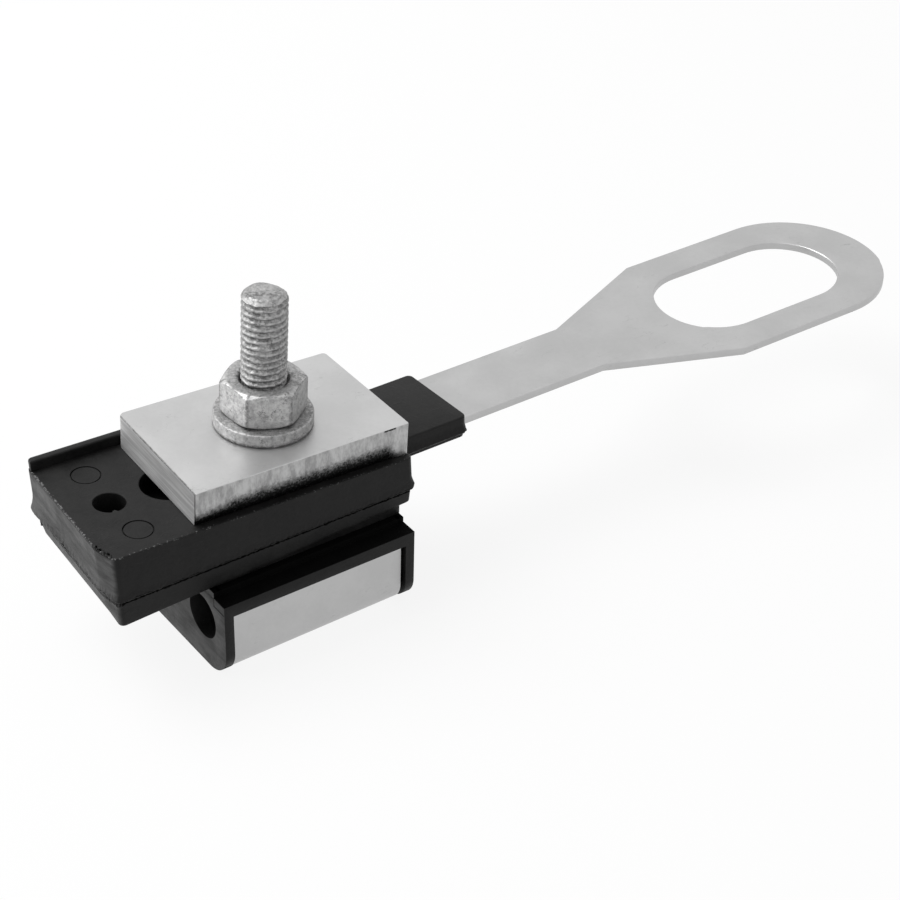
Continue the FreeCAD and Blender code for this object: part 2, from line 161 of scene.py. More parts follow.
# Each noise in these tables is its scale, detail, roughness and seed, and a patch its low and high too;
# each vein is its scale, width and seed.
# Moulded black plastic, with flow streaks, fine grain and a few pale specks of dust
moulding = Sizes(
    dark=0.0065, pale=0.0135, dust=0.08, worn=0.14, specular=0.15, shadedSpecular=0.02,
    roughLow=0.4, roughHigh=0.54, endDark=0.016, endPale=0.075, shaded=0.003,
    flow=(210.0, 5.0, 0.62, 1.0), fine=(1500.0, 3.0, 0.6, 7.0), speck=(2400.0, 2.0, 0.5, 4.0, 0.7, 0.8),
    dustArea=(160.0, 2.0, 0.5, 9.0, 0.45, 0.7), marks=(230.0, 5.0, 0.6, 31.0),
    swirl=(420.0, 4.0, 0.55, 33.0), chip=(1900.0, 2.0, 0.6, 15.0), broad=(330.0, 3.0, 0.5, 3.0),
    line=(90.0, 0.006, 12.0), grain=(3400.0, 3.0, 0.6, 2.0),
)


def makeMoulding():
    look = moulding
    material, shader, where = startMaterial("blackMoulding")
    flow = noiseAt(stretched(where, (1.0, 1.0, 0.45)), *look.flow)
    tone = flow * 0.7 + noiseAt(where, *look.fine) * 0.3
    colour = blend(remap(tone, 0.34, 0.66), look.dark, grey(look.pale, 0.01))
    dust = patches(where, *look.speck) * patches(where, *look.dustArea)
    colour = blend(dust * 0.6, colour, look.dust)
    marks = noiseAt(stretched(where, (1.0, 0.4, 1.0)), *look.marks)
    swirl = noiseAt(stretched(where, (1.0, 0.25, 1.6)), *look.swirl)
    flowed = marks * 0.6 + swirl * 0.4
    # Painted light: faces that look left take a paler colour, for the light from the left that they catch
    paintedLightEnd = blend(remap(flowed, 0.36, 0.66), look.endDark, look.endPale)
    colour = blend(readAttribute(where, "paintedLightLeftEnd"), colour, paintedLightEnd)
    bare = (readAttribute(where, "edge") - 1.0) * 0.25
    colour = blend(remap(noiseAt(where, *look.chip) + bare, 0.56, 0.68), colour, look.worn)
    # Painted shade: where the shade attribute is set, the colour goes nearly black and the specular drops
    shade = readAttribute(where, "shade")
    colour = blend(shade * 0.9, colour, look.shaded)
    specular = remap(shade, 0.0, 1.0, look.specular, look.shadedSpecular, smooth=False)
    join(specular, shader.inputs["Specular IOR Level"])
    broad = noiseAt(stretched(where, (0.7, 0.7, 1.0)), *look.broad)
    lines = veins(stretched(where, (0.5, 1.0, 1.0)), *look.line)
    finishMaterial(shader, colour, remap(flow, 0.3, 0.7, look.roughLow, look.roughHigh),
                   (broad, 0.0004, 0.3), (flowed, 0.0004, 0.3), (lines, 0.00008, 0.25),
                   (noiseAt(where, *look.grain), 0.00004, 0.5))
    return material


# Hot-dip zinc on the bolt, nut and washer: cloudy, lumpy, with dark cracks, pits and bright rubbed specks
dipZinc = Sizes(
    low=0.34, high=0.5, crack=0.07, rubbed=0.85, root=0.1, roughLow=0.44, roughHigh=0.62,
    marked=0.85, dulledRough=0.16, cloud=(800.0, 6.0, 0.74, 1.0), fine=(2600.0, 3.0, 0.6, 2.0),
    crackLine=(420.0, 0.016, 5.0), crackArea=(330.0, 2.0, 0.5, 8.0, 0.42, 0.56),
    hairLine=(1150.0, 0.02, 6.0), hairArea=(450.0, 2.0, 0.5, 18.0, 0.5, 0.62),
    pitArea=(520.0, 2.0, 0.5, 3.0, 0.4, 0.62), rubbedArea=(610.0, 2.0, 0.5, 11.0, 0.5, 0.66),
    patchy=(1700.0, 4.0, 0.7, 41.0), swell=(760.0, 3.0, 0.6, 14.0),
)


def makeDipZinc():
    look = dipZinc
    material, shader, where = startMaterial("hotDipZinc", 1.0)
    cloud, fine = noiseAt(where, *look.cloud), noiseAt(where, *look.fine)
    colour = blend(remap(cloud, 0.36, 0.64), look.low, grey(look.high, 0.004))
    cracks = veins(where, *look.crackLine) * patches(where, *look.crackArea)
    hairs = veins(where, *look.hairLine) * patches(where, *look.hairArea)
    cracks = larger(cracks, hairs * 0.8)
    pits = remap(fine, 0.34, 0.24) * patches(where, *look.pitArea)
    rubbed = remap(fine, 0.6, 0.74) * patches(where, *look.rubbedArea)
    for mark, tone in ((cracks, "crack"), (pits, "crack"), (rubbed, "rubbed")):
        colour = blend(mark * look.marked, colour, look[tone])
    # Where this attribute is set the zinc goes toward the dark root tone and grows rougher: painted contact shade
    # at the nut's and washer's feet, duller zinc on tops and edges, and darker over the thread, most in its roots
    dulledAndShaded = readAttribute(where, "dulledAndShaded")
    patchy = remap(noiseAt(where, *look.patchy), 0.34, 0.62, 0.3, 1.6)
    dullingAndShade = remap(dulledAndShaded * patchy, 0.0, 1.0, 0.0, look.marked, smooth=False)
    rough = remap(cloud, 0.3, 0.7, look.roughHigh, look.roughLow) + dulledAndShaded * look.dulledRough
    finishMaterial(shader, blend(dullingAndShade, colour, look.root), rough,
                   (noiseAt(where, *look.swell), 0.0003, 0.35), (cracks, 0.0001, -0.5), (fine, 0.00012, 0.6))
    return material


# Smooth zinc on flat sheet and bar: nearly even, with soft clouds, rolling lines and stray scratches
sheetZinc = Sizes(fine=(900.0, 3.0, 0.6, 2.0), scratchLine=(130.0, 0.003, 6.0),
                  scratchArea=(170.0, 2.0, 0.5, 4.0, 0.5, 0.6), speck=(1500.0, 2.0, 0.5, 10.0, 0.24, 0.2),
                  dent=(190.0, 3.0, 0.5, 8.0), grain=(2600.0, 2.0, 0.5, 9.0))


def makeSheetZinc(name, look, paintOver=None):
    sheet = sheetZinc
    material, shader, where = startMaterial(name, 1.0)
    cloud = noiseAt(where, look.cloud, 4.0, 0.55, 1.0)
    tone = cloud * 0.75 + noiseAt(where, *sheet.fine) * 0.25
    colour = blend(remap(tone, 0.36, 0.64), look.low, look.high)
    scratches = veins(stretched(where, (0.35, 1.0, 1.0)), *sheet.scratchLine)
    scratches = scratches * patches(where, *sheet.scratchArea) * look.scratch
    colour = blend(scratches, colour, look.low * 0.45)
    colour = blend(patches(where, *sheet.speck) * 0.5, colour, look.low * 0.4)
    rough = remap(cloud, 0.3, 0.7, look.roughLow, look.roughHigh)
    if paintOver:
        colour, rougher = paintOver(look, where, colour)
        rough = rough + rougher
    finishMaterial(shader, colour, rough, (noiseAt(where, *sheet.dent), 0.0003, look.dimple),
                   (noiseAt(where, *sheet.grain), 0.00005, 0.3))
    return material


strapLook = Sizes(low=0.45, high=0.49, cloud=70.0, scratch=0.35, roughLow=0.34, roughHigh=0.42, dimple=0.05)
saddleLook = Sizes(low=0.44, high=0.48, cloud=120.0, scratch=0.3, roughLow=0.36, roughHigh=0.46, dimple=0.22)
plateLook = Sizes(low=0.485, high=0.53, cloud=60.0, scratch=0.4, roughLow=0.38, roughHigh=0.44, dimple=0.05,
                  torn=0.27, tornPale=0.46, oxide=0.012, smoke=0.1, milledLow=0.38, milledHigh=0.54,
                  milledRough=0.22, tear=(1300.0, 5.0, 0.66, 21.0), wide=(420.0, 3.0, 0.5, 22.0),
                  along=(1500.0, 3.0, 0.6, 24.0), lumpy=(1900.0, 6.0, 0.8, 25.0))


# The plate's sheared front and milled left end, told apart by attributes, and how much rougher they make it
def paintPlate(look, where, colour):
    upright = stretched(where, (1.0, 1.0, 0.35))
    tone = noiseAt(upright, *look.tear) * 0.55 + noiseAt(upright, *look.wide) * 0.45
    sheared = blend(remap(tone, 0.38, 0.62), look.torn, look.tornPale)
    colour = blend(readAttribute(where, "sheared"), colour, sheared)
    along = noiseAt(stretched(where, (1.0, 0.03, 1.0)), *look.along)
    side = readAttribute(where, "milled")
    colour = blend(side, colour, blend(remap(along, 0.36, 0.64), look.milledLow, look.milledHigh))
    # Oxide and painted shade: the drawn-in underside of the front, the nick and the milled end's top edge go smoky,
    # then near black
    dark = readAttribute(where, "oxide")
    lumpy = noiseAt(where, *look.lumpy) - 0.5
    colour = blend(remap(dark + lumpy * 1.3, 0.1, 0.8), colour, look.smoke)
    colour = blend(remap(dark + lumpy * 2.4, 0.72, 0.96), colour, look.oxide)
    return colour, side * look.milledRough


blackMoulding = makeMoulding()
galvanised = makeDipZinc()
strapZinc = makeSheetZinc("strapZinc", strapLook)
saddleZinc = makeSheetZinc("saddleZinc", saddleLook)
plateZinc = makeSheetZinc("plateZinc", plateLook, paintPlate)
print("materials made")


def ramp(value, low, high):
    return min(1.0, max(0.0, (value - low) / (high - low)))


def pieceFromBm(name, bm, recalculate=True):
    if recalculate:
        bmesh.ops.recalc_face_normals(bm, faces=bm.faces)
    mesh = bpy.data.meshes.new(name)
    bm.to_mesh(mesh)
    bm.free()
    piece = bpy.data.objects.new(name, mesh)
    scene.collection.objects.link(piece)
    return piece


# Turns a closed or pole-to-pole outline of (radius, height) pairs in millimetres about Z
def turned(outline, segments, closed=False):
    bm = bmesh.new()
    rings = []
    for radius, height in outline:
        turns = [2 * pi * i / segments for i in range(segments if radius else 1)]
        rings.append([bm.verts.new((radius * mm * cos(turn), radius * mm * sin(turn), height * mm))
                      for turn in turns])
    for first, second in zip(rings, rings[1:] + (rings[:1] if closed else [])):
        for i in range(segments):
            k = (i + 1) % segments
            corners = [first[i % len(first)], first[k % len(first)], second[k % len(second)],
                       second[i % len(second)]]
            bm.faces.new(list(dict.fromkeys(corners)))
    return bm


# An outline round a convex polygon with rounded corners, anticlockwise, as many points on each side
# and corner whatever its size, so that one outline can be walled to the next
def softPolygon(corners, radii, counts, bend=8):
    points = []
    total = len(corners)
    radii = [max(radius, 0.02) for radius in radii]
    for i in range(total):
        before, here, after, beyond = (Vector(corners[(i + k) % total]) for k in (-1, 0, 1, 2))
        came, leaves = (here - before).normalized(), (after - here).normalized()
        turn = came.angle(leaves)
        start = here - came * radii[i] * tan(turn / 2)
        outward = Vector((came.y, -came.x))
        centre = start - outward * radii[i]
        first = atan2(outward.y, outward.x)
        for k in range(bend + 1):
            angle = first + turn * k / bend
            points.append(centre + radii[i] * Vector((cos(angle), sin(angle))))
        nextTurn = leaves.angle((beyond - after).normalized())
        nextStart = after - leaves * radii[(i + 1) % total] * tan(nextTurn / 2)
        last = points[-1]
        points += [last.lerp(nextStart, k / counts[i]) for k in range(1, counts[i])]
    return points


# Corners round the origin, all drawn in by the same inset
def drawnIn(corners, inset):
    return [(x - copysign(inset, x), y - copysign(inset, y)) for x, y in corners]


# A quarter round from its flat to its wall, as pairs of how far in and how far up
def quarter(across, along, steps):
    turns = [radians(90 * i / steps) for i in range(steps + 1)]
    return [(across * (1 - sin(turn)), along * (1 - cos(turn))) for turn in turns]


def wall(bm, *rings):
    for first, second in zip(rings, rings[1:]):
        for i in range(len(first)):
            k = (i + 1) % len(first)
            bm.faces.new((first[i], first[k], second[k], second[i]))


def addRing(bm, points, height):
    return [bm.verts.new((p.x, p.y, height(p.x) if callable(height) else height)) for p in points]


def circlePoints(x, y, radius, count):
    return [Vector((x + radius * cos(2 * pi * i / count), y + radius * sin(2 * pi * i / count)))
            for i in range(count)]


# Closes the space between an outer ring and the rings of its holes
def capWith(bm, outer, *holes):
    edges = []
    for loop in (outer, *holes):
        for i in range(len(loop)):
            pair = (loop[i], loop[(i + 1) % len(loop)])
            edges.append(bm.edges.get(pair) or bm.edges.new(pair))
    bmesh.ops.triangle_fill(bm, edges=edges, use_beauty=True)


def addBox(bm, low, high):
    middle = (Vector(low) + Vector(high)) / 2 * mm
    size = (Vector(high) - Vector(low)) * mm
    bmesh.ops.create_cube(bm, size=1.0, matrix=Matrix.Translation(middle) @ Matrix.Diagonal((*size, 1.0)))


def addBoxes(piece, boxes):
    bm = bmesh.new()
    bm.from_mesh(piece.data)
    for low, high in boxes:
        addBox(bm, low, high)
    bm.to_mesh(piece.data)
    bm.free()


def plainMesh(piece):
    graph = bpy.context.evaluated_depsgraph_get()
    mesh = bpy.data.meshes.new_from_object(piece.evaluated_get(graph))
    piece.modifiers.clear()
    piece.data = mesh
    return mesh


# Keeps a value on each face's corners, from its centre in millimetres and its normal
def markFaces(piece, name, valueAt):
    values = []
    for face in piece.data.polygons:
        values += [valueAt(face.center / mm, face.normal)] * len(face.vertices)
    piece.data.attributes.new(name, "FLOAT", "CORNER").data.foreach_set("value", values)


# The faces that look left, where the moulding gets a paler colour: painted light from the left
def markPaintedLightLeftEnd(piece, beyond):
    markFaces(piece, "paintedLightLeftEnd", lambda centre, normal: ramp(-normal.x, 0.55, 0.9) if centre.x < -beyond else 0.0)


def settle(piece, material, smoothAngle):
    mesh = plainMesh(piece)
    mesh.materials.clear()
    mesh.materials.append(material)
    mesh.shade_smooth()
    mesh.set_sharp_from_angle(angle=radians(smoothAngle))


# A tree whose inputs are named as the sizes they take: lengths in millimetres, and plain numbers
def startTree(name, lengths, numbers):
    tree = bpy.data.node_groups.new(name, "GeometryNodeTree")
    tree.interface.new_socket("Geometry", in_out="INPUT", socket_type="NodeSocketGeometry")
    for label in (*lengths, *numbers):
        socket = tree.interface.new_socket(label, in_out="INPUT", socket_type="NodeSocketFloat")
        socket.subtype = "DISTANCE" if label in lengths else "NONE"
    tree.interface.new_socket("Geometry", in_out="OUTPUT", socket_type="NodeSocketGeometry")
    sockets = tree.nodes.new("NodeGroupInput").outputs
    return tree, Sizes({socket.name: Field(socket) for socket in sockets if socket.name})


def endTree(tree, geometry, material):
    realized = addNode(tree, "GeometryNodeRealizeInstances", {"Geometry": geometry})
    painted = addNode(tree, "GeometryNodeSetMaterial", {"Geometry": realized, "Material": material})
    join(painted, tree.nodes.new("NodeGroupOutput").inputs[0])
    return tree


def grow(piece, tree, sizes):
    modifier = piece.modifiers.new(tree.name, "NODES")
    modifier.node_group = tree
    for item in tree.interface.items_tree:
        if item.in_out == "INPUT" and item.name in sizes:
            modifier[item.identifier] = sizes[item.name] * (mm if item.subtype == "DISTANCE" else 1.0)
    plainMesh(piece)
    return piece


def pushAlong(geometry, direction, amount):
    offset = addNode(geometry.tree, "ShaderNodeVectorMath", {0: direction, "Scale": amount}, operation="SCALE")
    return addNode(geometry.tree, "GeometryNodeSetPosition", {"Geometry": geometry, "Offset": offset})


def keepValue(geometry, name, value):
    given = {"Geometry": geometry, "Name": name, "Value": value}
    return addNode(geometry.tree, "GeometryNodeStoreNamedAttribute", given, data_type="FLOAT", domain="POINT")


def splitPosition(tree):
    position = addNode(tree, "GeometryNodeInputPosition")
    parts = addNode(tree, "ShaderNodeSeparateXYZ", {0: position}).socket.node.outputs
    return position, *(Field(part) for part in parts)


# Lumps that hot zinc leaves on a fastener, along the surface's own normals
def makeZincSkinTree():
    tree, given = startTree("zincSkin", ["lump", "grain"], ["lumpScale", "grainScale"])
    position = splitPosition(tree)[0]
    broad = noiseAt(position, given.lumpScale, 2.0, 0.5, 3.0) - 0.62
    fine = noiseAt(position, given.grainScale, 2.0, 0.5, 5.0) - 0.6
    normal = addNode(tree, "GeometryNodeInputNormal")
    pushed = pushAlong(given.Geometry, normal, broad * given.lump + fine * given.grain)
    return endTree(tree, pushed, galvanised)


# A ragged bead of plastic that follows a line: flash, torn edges and stringy bits
def makeBeadTree():
    tree, given = startTree("raggedBead", ["radius", "wander", "step"], ["raggedness", "ragScale"])
    curve = addNode(tree, "GeometryNodeMeshToCurve", {"Mesh": given.Geometry})
    even = addNode(tree, "GeometryNodeResampleCurve", {"Curve": curve, "Length": given.step}, mode="LENGTH")
    position = splitPosition(tree)[0]
    rag = patches(position, given.ragScale, 3.0, 0.6, 1.0, 0.42, 0.74)
    thick = given.radius * (rag * given.raggedness + 0.35)
    astray = addNode(tree, "ShaderNodeTexNoise", {"Vector": position, "Scale": given.ragScale, "W": 8.0},
                     "Color", noise_dimensions="4D")
    centred = addNode(tree, "ShaderNodeVectorMath", {0: astray, 1: (0.5, 0.5, 0.5)}, operation="SUBTRACT")
    moved = pushAlong(even, centred, given.wander)
    profile = addNode(tree, "GeometryNodeCurvePrimitiveCircle", {"Resolution": 6, "Radius": 1.0})
    tube = addNode(tree, "GeometryNodeCurveToMesh", {"Curve": moved, "Profile Curve": profile, "Scale": thick,
                                                     "Fill Caps": True})
    return endTree(tree, tube, blackMoulding)


zincSkinTree = makeZincSkinTree()
beadTree = makeBeadTree()


def beadAlong(points, closed, sizes):
    bm = bmesh.new()
    verts = [bm.verts.new(Vector(point) * mm) for point in points]
    for first, second in zip(verts, verts[1:] + (verts[:1] if closed else [])):
        bm.edges.new((first, second))
    return grow(pieceFromBm("bead", bm, recalculate=False), beadTree, sizes)


def joinPieces(name, *pieces):
    bm = bmesh.new()
    for piece in pieces:
        bm.from_mesh(piece.data)
        bpy.data.objects.remove(piece)
    return pieceFromBm(name, bm, recalculate=False)


def place(piece, body, slot, *nodes):
    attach(piece, body)
    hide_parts(*nodes)
    print(piece.name, "triangles", sum(len(face.vertices) - 2 for face in piece.data.polygons))


camera = Sizes(focal=2230.85, azimuth=36.33, elevation=35.11, roll=1.69, position=(-197.32, -338.16, 313.54),
               sensor=36.0, pixels=900.0)


def placeCamera():
    azimuth, elevation, roll = (radians(camera[key]) for key in ("azimuth", "elevation", "roll"))
    forward = Vector((sin(azimuth) * cos(elevation), cos(azimuth) * cos(elevation), -sin(elevation)))
    right = forward.cross(Vector((0, 0, 1))).normalized()
    up = right.cross(forward)
    data = bpy.data.cameras.new("photoView")
    data.sensor_width = camera.sensor
    data.lens = camera.sensor * camera.focal / camera.pixels
    data.clip_start, data.clip_end = 0.01, 20.0
    view = bpy.data.objects.new("photoView", data)
    matrix = Matrix((cos(roll) * right + sin(roll) * up, cos(roll) * up - sin(roll) * right, -forward))
    view.matrix_world = Matrix.Translation(Vector(camera.position) * mm) @ matrix.transposed().to_4x4()
    scene.collection.objects.link(view)
    scene.camera = view


studio = Sizes(skyLevel=0.4, floorReach=4.0, floorDrop=0.15, floorGlow=0.88, floorTone=0.8, floorRough=0.9)
lamps = {
    "softTop": Sizes(at=(-0.35, 0.45, 1.0), aim=(0.05, 0.0, 0.03), width=0.8, power=12.0),
    "leftFill": Sizes(at=(-0.9, 0.55, 0.32), aim=(0.0, 0.0, 0.03), width=0.8, power=5.5),
}


# Shows a white light instead of the node before it, wherever the floor or sky is seen or mirrored
def showWhite(tree, kind, before, share, output):
    path = addNode(tree, "ShaderNodeLightPath").socket.node.outputs
    seen, mirrored, through = (Field(path[f"Is {way} Ray"]) for way in ("Camera", "Glossy", "Transmission"))
    white = addNode(tree, kind, {"Color": grey(1.0), "Strength": 1.0})
    amount = larger(larger(seen, mirrored), through) * share
    mix = addNode(tree, "ShaderNodeMixShader", {0: amount, 1: Field(before.outputs[0]), 2: white})
    join(mix, tree.nodes[output].inputs[0])


def buildStudio():
    world = bpy.data.worlds.new("paleStudio")
    world.use_nodes = True
    scene.world = world
    sky = world.node_tree.nodes["Background"]
    sky.inputs["Color"].default_value = grey(1.0)
    sky.inputs["Strength"].default_value = studio.skyLevel
    showWhite(world.node_tree, "ShaderNodeBackground", sky, 1.0, "World Output")

    bm = bmesh.new()
    bmesh.ops.create_grid(bm, x_segments=1, y_segments=1, size=studio.floorReach)
    floor = pieceFromBm("paleFloor", bm, recalculate=False)
    floor.location.z = -studio.floorDrop * mm
    material = bpy.data.materials.new("paleFloor")
    material.use_nodes = True
    paint = material.node_tree.nodes["Principled BSDF"]
    paint.inputs["Base Color"].default_value = grey(studio.floorTone)
    paint.inputs["Roughness"].default_value = studio.floorRough
    showWhite(material.node_tree, "ShaderNodeEmission", paint, studio.floorGlow, "Material Output")
    floor.data.materials.append(material)


def addLamps():
    for name, lamp in lamps.items():
        data = bpy.data.lights.new(name, "AREA")
        data.shape = "SQUARE"
        data.size = lamp.width
        data.energy = lamp.power
        light = bpy.data.objects.new(name, data)
        light.location = lamp.at
        aim = Vector(lamp.aim) - Vector(lamp.at)
        light.rotation_euler = aim.to_track_quat("-Z", "Y").to_euler()
        scene.collection.objects.link(light)


placeCamera()
buildStudio()
addLamps()
print("camera, floor and lamps placed")

bolt = Sizes(
    crestRadius=4.97, pitch=1.5, threadDepth=0.52, threadStart=34.0, runOut=3.0, pitchSteps=13,
    foot=0.6, headRadius=9.1, headRim=0.8, headEdge=0.3, headHeight=4.4, segments=150,
    square=((-4.95, -4.95, 3.8), (4.95, 4.95, 9.0)), top=76.85, endChamfer=1.05,
    endRings=(3.7, 3.45, 3.1, 2.7, 2.2, 1.7, 1.2, 0.7, 0.3, 0.0), facetFrom=1.9, facetSlope=0.2,
    lump=0.13, lumpScale=700.0, grain=0.15, grainScale=2500.0, facetAlong=(0.972, 0.235), facetFade=0.0012,
    wavy=(420.0, 4.0, 0.65, 19.0), worn=(330.0, 3.0, 0.6, 17.0), threadDull=0.2, rootDull=0.5,
)


# Cuts a thread along the bolt and a slanting facet across its end
def makeThreadTree():
    tree, given = startTree("boltThread", ["pitch", "crestRadius", "threadDepth", "threadStart", "runOut", "top",
                                           "facetFrom"], ["facetSlope"])
    position, x, y, z = splitPosition(tree)
    turn = calc("ARCTAN2", y, x) / (2 * pi)
    wavy = noiseAt(position, *bolt.wavy) * 0.8
    phase = calc("FRACT", wavy + (z / given.pitch - turn))
    flank = remap(abs(phase - 0.5), 0.08, 0.4)
    fade = remap(z, given.threadStart, given.threadStart + given.runOut)
    worn = remap(noiseAt(position, *bolt.worn), 0.34, 0.6, 0.25, 1.0)
    cut = flank * fade * worn
    radius = calc("SQRT", x * x + y * y)
    wanted = given.crestRadius - cut * given.threadDepth
    scale = calc("MINIMUM", radius, wanted) / larger(radius, 1e-6)
    across = x * bolt.facetAlong[0] + y * bolt.facetAlong[1]
    nearEnd = remap(z, given.top - bolt.facetFade, given.top)
    drop = larger(across - given.facetFrom, 0.0) * given.facetSlope * nearEnd
    threaded = addNode(tree, "ShaderNodeCombineXYZ", {0: x * scale, 1: y * scale, 2: z - drop})
    kept = keepValue(given.Geometry, "dulledAndShaded", fade * bolt.threadDull + cut * bolt.rootDull)
    shaped = addNode(tree, "GeometryNodeSetPosition", {"Geometry": kept, "Position": threaded})
    return endTree(tree, shaped, galvanised)


def buildBolt():
    size = bolt
    foot, head, edge, crest = size.foot, size.headRadius, size.headEdge, size.crestRadius
    start, top, chamfer = size.threadStart, size.top, size.endChamfer
    outline = [(0, foot), (head - edge, foot), (head, foot + edge), (head, foot + size.headRim),
               (crest, foot + size.headHeight)]
    for height, end, step in ((foot + size.headHeight + 1.0, start, 1.0),
                              (start, top - chamfer, size.pitch / size.pitchSteps)):
        while height < end:
            outline.append((crest, height))
            height += step
    for i in range(9):  # the chamfer
        part = i / 8
        outline.append((crest - chamfer * part * (1.15 - 0.15 * part),
                        top - chamfer * (1 - part) * (1 - 0.25 * part)))
    outline += [(radius, top) for radius in size.endRings]
    piece = pieceFromBm("clampBolt", turned(outline, size.segments))
    grow(piece, makeThreadTree(), size)
    grow(piece, zincSkinTree, size)
    addBoxes(piece, [size.square])
    piece.data.transform(lean)
    settle(piece, galvanised, 50)
    place(piece, "jaw", "galvanised_fastener", "clamp_bolt")


buildBolt()

nut = Sizes(flats=16.5, low=48.32, high=56.31, cornerAngle=36.7, bore=5.08, mouth=0.6, softness=0.12,
            chamferAngle=30.0, segments=288, lump=0.06, lumpScale=480.0, grain=0.04, grainScale=2000.0, foot=0.5,
            arris=0.2, arrisDull=0.75, uprightDull=0.8, topDull=0.3, boreDull=0.6)


def softMin(a, b, k):
    h = max(k - abs(a - b), 0.0) / k
    return min(a, b) - h * h * k / 4


def buildNut():
    size = nut
    low, total, count = size.low, size.high - size.low, size.segments
    apothem = size.flats / 2
    slope = 1 / tan(radians(size.chamferAngle))
    bm = bmesh.new()
    layer = bm.verts.layers.float.new("dulledAndShaded")
    rings = []

    def ring(radii, height, dulledAndShaded):
        row = []
        for i, (radius, value) in enumerate(zip(radii, dulledAndShaded)):
            turn = 2 * pi * i / count
            row.append(bm.verts.new((radius * mm * cos(turn), radius * mm * sin(turn), (low + height) * mm)))
            row[-1][layer] = value
        rings.append(row)

    hexRadii = []
    for i in range(count):
        turn = radians((360 * i / count - size.cornerAngle) % 60 - 30)
        hexRadii.append(softMin(apothem / cos(turn), apothem / cos(radians(30)) * 0.99, 0.2))
    upright = apothem / cos(radians(26.5))  # where a side's darker corner begins
    rows = [0.0, 0.03, 0.08, 0.15, 0.25, 0.4, 0.6, 0.85, 1.15, 1.5, 2.0, 2.6, 3.3, 4.0]
    for height in rows + [total - row for row in reversed(rows[:-1])]:
        edge = min(height, total - height)
        limit = apothem - 0.1 + edge * slope
        # Painted shade: the nut's lowest half millimetre goes dark, as the contact shadow on the washer
        foot = max(0.0, 1.0 - height / size.foot)
        ring([softMin(radius, limit, size.softness) - max(0.0, 0.1 - edge) for radius in hexRadii], height,
             [max(foot, size.uprightDull * ramp(radius, upright, upright + 0.25),
                  size.arrisDull * (1.0 - abs(radius - limit) / size.arris)) for radius in hexRadii])
    bore, mouth = size.bore, size.mouth
    for radius, height in ((7.5, total), (6.9, total), (6.3, total), (bore + mouth + 0.08, total),
                           (bore + mouth * 0.9, total - 0.05), (bore, total - 0.62), (bore, total / 2),
                           (bore, 0.62), (bore + mouth, 0.0), (6.6, 0.0), (7.4, 0.0)):
        ring([radius] * count, height, [size.topDull if radius > 6 else size.boreDull] * count)
    wall(bm, *rings, rings[0])
    piece = pieceFromBm("hexNut", bm)
    grow(piece, zincSkinTree, size)
    piece.data.transform(lean)
    settle(piece, galvanised, 55)
    place(piece, "nut", "galvanised_fastener", "hex_nut")


buildNut()

washer = Sizes(inner=5.5, outer=10.8, low=45.29, high=48.27, topRound=0.4, bottomRound=0.2, lump=0.12,
               lumpScale=300.0, grain=0.03, grainScale=1700.0, segments=200, footDull=0.9, topDull=0.42,
               roundDull=0.3, sideDull=0.12)


def buildWasher():
    size = washer
    low, high, inner, outer = size.low, size.high, size.inner, size.outer
    top, bottom = size.topRound, size.bottomRound
    outline = [(inner, low + 0.2), (inner + 0.2, low), (7.0, low), (8.5, low), (9.8, low)]
    outline += [(outer - side, low + rise) for side, rise in quarter(bottom, bottom, 5)]
    outline += [(outer, low + rise) for rise in (0.8, 1.3, 1.8, 2.2)]
    outline += [(outer - side, high - fall) for side, fall in reversed(quarter(top, top, 5))]
    outline += [(radius, high) for radius in (9.9, 9.4, 8.8, 8.2, 7.4, 6.6)]
    outline += [(inner + 0.25, high), (inner, high - 0.25), (inner, (low + high) / 2)]
    piece = pieceFromBm("flatWasher", turned(outline, size.segments, closed=True))

    # Painted shade at the foot, as the contact shadow on the plate; duller zinc on the top, rounding and side
    def dulledAndShadedAt(z):
        if z < low + 0.3:
            return size.footDull
        if z > high - 0.06:
            return size.topDull
        return size.roundDull if z > high - top else size.sideDull

    dulledAndShaded = [dulledAndShadedAt(vert.co.z / mm) for vert in piece.data.vertices]
    piece.data.attributes.new("dulledAndShaded", "FLOAT", "POINT").data.foreach_set("value", dulledAndShaded)
    grow(piece, zincSkinTree, size)
    piece.data.transform(lean)
    settle(piece, galvanised, 50)
    place(piece, "block", "galvanised_fastener", "flat_washer")


buildWasher()

plate = Sizes(
    corners=((-26.1, -16.5), (26.4, -16.5), (26.4, 17.0), (-25.2, 17.8)), low=37.28, high=45.26,
    radii=(0.45, 0.45, 1.0, 1.6), hole=5.5, topRoll=0.2, bottomRoll=0.12, rows=44,
    sideCounts=(360, 90, 110, 130), underHeight=3.5, underDepth=0.4, underFadeRight=22.5,
    tear=0.13, nickFrom=19.9, nickTo=23.1, nickDepth=0.2, seam=0.07, longRag=(170.0, 5.0, 0.65, 2.0),
    fineRag=(1100.0, 4.0, 0.65, 4.0), streak=(900.0, 5.0, 0.66, 6.0), nickGaps=(1300.0, 2.0, 0.5, 9.0, 0.4, 0.46),
    seamLine=(1500.0, 3.0, 0.6, 11.0),
)
